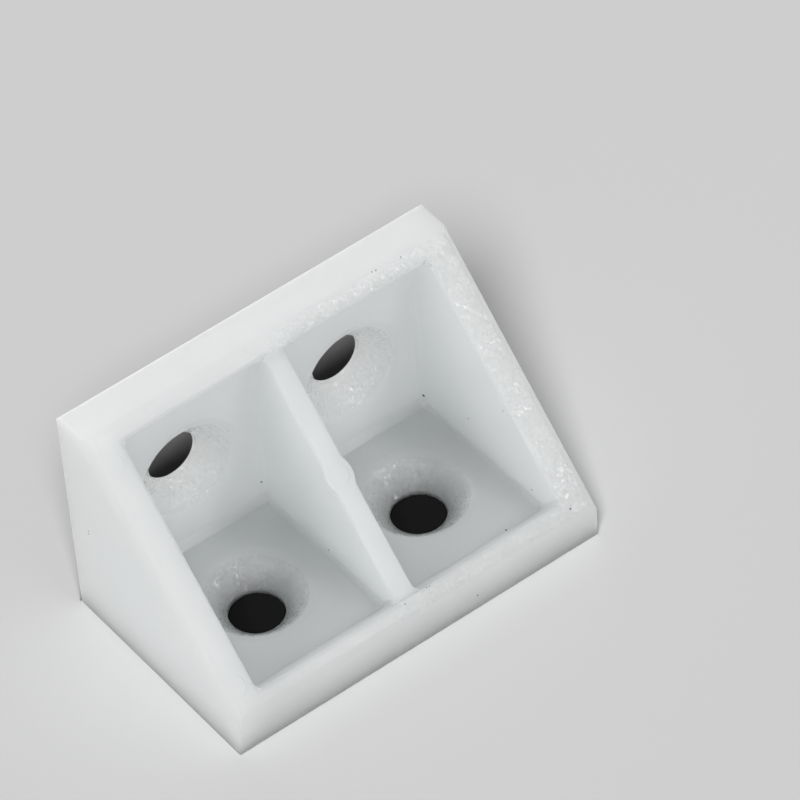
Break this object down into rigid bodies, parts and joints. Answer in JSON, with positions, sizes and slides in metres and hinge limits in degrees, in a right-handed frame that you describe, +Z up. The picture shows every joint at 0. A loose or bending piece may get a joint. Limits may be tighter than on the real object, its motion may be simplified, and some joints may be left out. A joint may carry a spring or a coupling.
{
  "type": "corner brace",
  "caption": "Right-angle plastic corner brace moulded in one piece: plates, end walls and a middle web around open pockets, with countersunk screw holes for joining panels.",
  "frame": {"origin": "centre of the base plate's underside, at the middle of the part's box", "axes": "+X along the corner, +Y out through the upright plate's back face, +Z up the upright plate"},
  "size_m": [0.042, 0.025, 0.025],
  "materials": {
    "brace_plastic": "white moulded polypropylene, fine satin surface, slightly translucent, with a finely sparked texture in the countersinks"
  },
  "bodies": {
    "root": {"corner_brace": "brace_plastic"}
  },
  "joints": []
}
